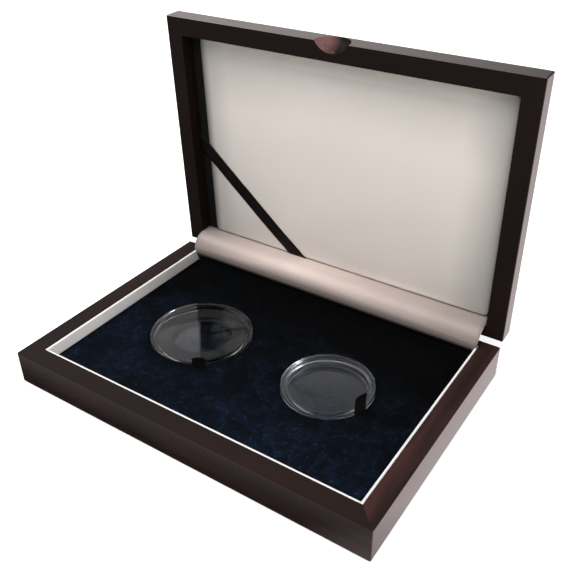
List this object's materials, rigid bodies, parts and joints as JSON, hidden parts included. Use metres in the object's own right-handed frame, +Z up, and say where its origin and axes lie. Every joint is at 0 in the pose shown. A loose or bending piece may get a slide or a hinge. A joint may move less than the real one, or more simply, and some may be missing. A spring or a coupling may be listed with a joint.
{
  "type": "coin display case",
  "caption": "Flat hinged wooden box with a padded ivory lid, a velvet tray and clear round capsules that hold coins for display.",
  "frame": {"origin": "centre of the felted underside", "axes": "+X to the right seen from the front, +Y towards the hinges, +Z up; the lid stands open at rest"},
  "size_m": [0.18, 0.1315, 0.1398],
  "materials": {
    "lacquered_wood": "dark mahogany lacquer, satin gloss",
    "leatherette": "ivory leatherette, fine grain",
    "lid_satin": "ivory satin",
    "velvet": "navy velvet, crushed nap",
    "tray_foam": "foam block",
    "underside_felt": "black felt",
    "card": "grey board",
    "ribbon": "black satin ribbon",
    "brass": "polished",
    "clear_plastic": "clear acrylic",
    "spacer_foam": "fine dark foam"
  },
  "bodies": {
    "base": {"base_front_rail": "lacquered_wood", "base_left_rail": "lacquered_wood", "base_right_rail": "lacquered_wood", "base_rear_rail": "lacquered_wood", "base_bottom_panel": "lacquered_wood", "underside_felt": "underside_felt", "left_lining": "leatherette", "right_lining": "leatherette", "front_lining": "leatherette", "tray_core": "tray_foam", "tray_velvet": "velvet", "left_lift_tab": "ribbon", "right_lift_tab": "ribbon", "left_hinge_base_leaf": "brass", "right_hinge_base_leaf": "brass", "left_hinge_pin": "brass", "right_hinge_pin": "brass", "hinge_base_screws": "brass", "hinge_cover": "leatherette"},
    "lid": {"lid_front_rail": "lacquered_wood", "lid_left_rail": "lacquered_wood", "lid_right_rail": "lacquered_wood", "lid_rear_rail": "lacquered_wood", "lid_top_panel": "lacquered_wood", "lid_pad_board": "card", "lid_pad": "lid_satin", "certificate_ribbon": "ribbon", "left_hinge_lid_leaf": "brass", "right_hinge_lid_leaf": "brass", "hinge_lid_screws": "brass"},
    "left_capsule": {"left_capsule_bottom": "clear_plastic", "left_capsule_ring": "spacer_foam"},
    "left_capsule_lid": {"left_capsule_top": "clear_plastic"},
    "right_capsule": {"right_capsule_bottom": "clear_plastic"},
    "right_capsule_lid": {"right_capsule_top": "clear_plastic"}
  },
  "joints": [
    {"name": "lid_hinge", "type": "hinge", "parent": "base", "child": "lid", "pos_m": [0, 0.062, 0.0171], "axis": [-1, 0, 0], "range_deg": [-88, 0], "deforming": ["hinge_cover"]},
    {"name": "left_capsule_lift", "type": "slide", "parent": "base", "child": "left_capsule", "axis": [0, 0, 1], "range_m": [0, 0.04]},
    {"name": "left_capsule_opening", "type": "slide", "parent": "left_capsule", "child": "left_capsule_lid", "axis": [0, 0, 1], "range_m": [0, 0.015]},
    {"name": "right_capsule_lift", "type": "slide", "parent": "base", "child": "right_capsule", "axis": [0, 0, 1], "range_m": [0, 0.04]},
    {"name": "right_capsule_opening", "type": "slide", "parent": "right_capsule", "child": "right_capsule_lid", "axis": [0, 0, 1], "range_m": [0, 0.015]}
  ]
}
